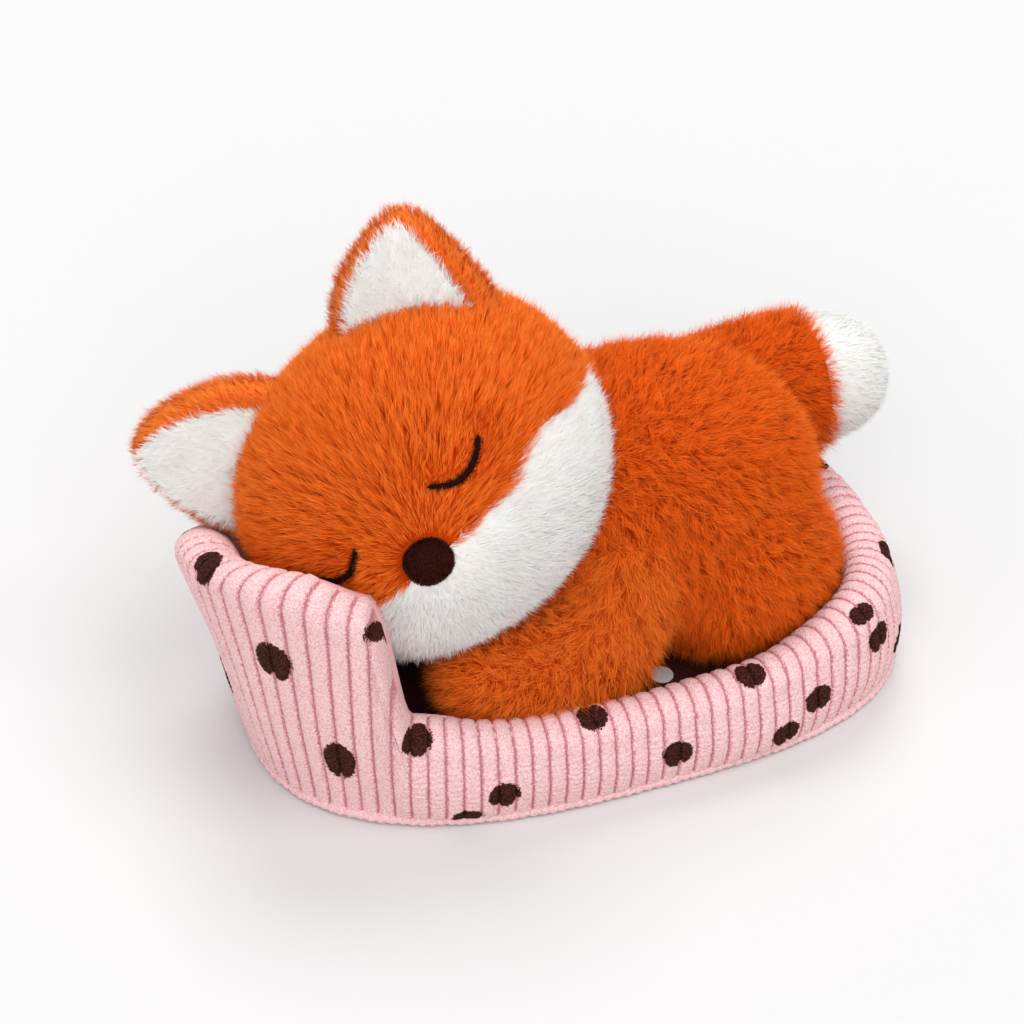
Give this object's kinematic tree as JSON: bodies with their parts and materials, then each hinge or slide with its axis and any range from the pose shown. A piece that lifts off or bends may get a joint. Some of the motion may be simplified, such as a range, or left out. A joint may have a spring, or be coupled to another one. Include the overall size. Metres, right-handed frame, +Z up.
{
  "type": "plush fox in a padded bed",
  "caption": "Sleeping plush fox lying in a small padded corduroy bed with a low entry; head, ears, front arms and tail bend, and the fox lifts out.",
  "frame": {"origin": "middle of the bed's underside, on the surface it stands on", "axes": "+Z up, +X along the bed from its head end to its foot end, the low front entry at -Y"},
  "size_m": [0.2249, 0.1183, 0.1509],
  "materials": {
    "pink_corduroy": "wide corduroy with flocked dots",
    "pink_lining": "smooth short plush",
    "brown_cushion_cloth": "short plush, printed dots",
    "foam": "open foam",
    "orange_plush": "long soft fur",
    "white_plush": "long soft fur",
    "stuffing_fibre": "loose fibre",
    "brown_nose_plush": "short flock",
    "brown_thread": "satin stitch"
  },
  "bodies": {
    "bed": {"bed_wall_cover": "pink_corduroy", "bed_wall_lining": "pink_lining", "bed_wall_foam": "foam", "bed_bottom_panel": "pink_corduroy", "bed_base_board": "foam", "bed_floor_cushion": "brown_cushion_cloth", "bed_base_welt": "pink_corduroy"},
    "torso": {"torso_cover": "orange_plush", "torso_stuffing": "stuffing_fibre", "leg_left": "orange_plush", "leg_right": "orange_plush"},
    "head": {"head_cover": "orange_plush", "face_panel": "white_plush", "head_stuffing": "stuffing_fibre", "nose": "brown_nose_plush", "eye_left": "brown_thread", "eye_right": "brown_thread"},
    "ear_left": {"ear_left_back": "orange_plush", "ear_left_front": "white_plush"},
    "ear_right": {"ear_right_back": "orange_plush", "ear_right_front": "white_plush"},
    "arm_left": {"arm_left": "orange_plush"},
    "arm_right": {"arm_right": "orange_plush"},
    "tail": {"tail": "orange_plush", "tail_tip": "white_plush"}
  },
  "joints": [
    {"name": "fox_lift", "type": "slide", "parent": "bed", "child": "torso", "axis": [0, 0, 1], "range_m": [0, 0.1]},
    {"name": "neck_bend", "type": "hinge", "parent": "torso", "child": "head", "pos_m": [0.009, 0.004, 0.097], "axis": [0, 1, 0], "range_deg": [0, 25], "stiffness_Nm_per_rad": 0.03},
    {"name": "ear_left_fold", "type": "hinge", "parent": "head", "child": "ear_left", "pos_m": [-0.03768, 0.00889, 0.12428], "axis": [0.9139, -0.4056, -0.0134], "range_deg": [0, 30], "stiffness_Nm_per_rad": 0.02, "springref_deg": -5.73},
    {"name": "ear_right_fold", "type": "hinge", "parent": "head", "child": "ear_right", "pos_m": [-0.08343, 0.01557, 0.08387], "axis": [0.1535, 0.2498, 0.956], "range_deg": [0, 30], "stiffness_Nm_per_rad": 0.02, "springref_deg": -5.73},
    {"name": "arm_left_bend", "type": "hinge", "parent": "torso", "child": "arm_left", "pos_m": [0.008, -0.024, 0.08], "axis": [-0.7071, 0, -0.7071], "range_deg": [0, 4], "stiffness_Nm_per_rad": 0.1, "springref_deg": -5.73},
    {"name": "arm_right_bend", "type": "hinge", "parent": "torso", "child": "arm_right", "pos_m": [0.008, 0.03, 0.064], "axis": [0, -1, 0], "range_deg": [0, 5], "stiffness_Nm_per_rad": 0.1, "springref_deg": -5.73},
    {"name": "tail_bend", "type": "hinge", "parent": "torso", "child": "tail", "pos_m": [0.036, 0.03, 0.08], "axis": [0, -1, 0], "range_deg": [0, 30], "stiffness_Nm_per_rad": 0.05}
  ]
}
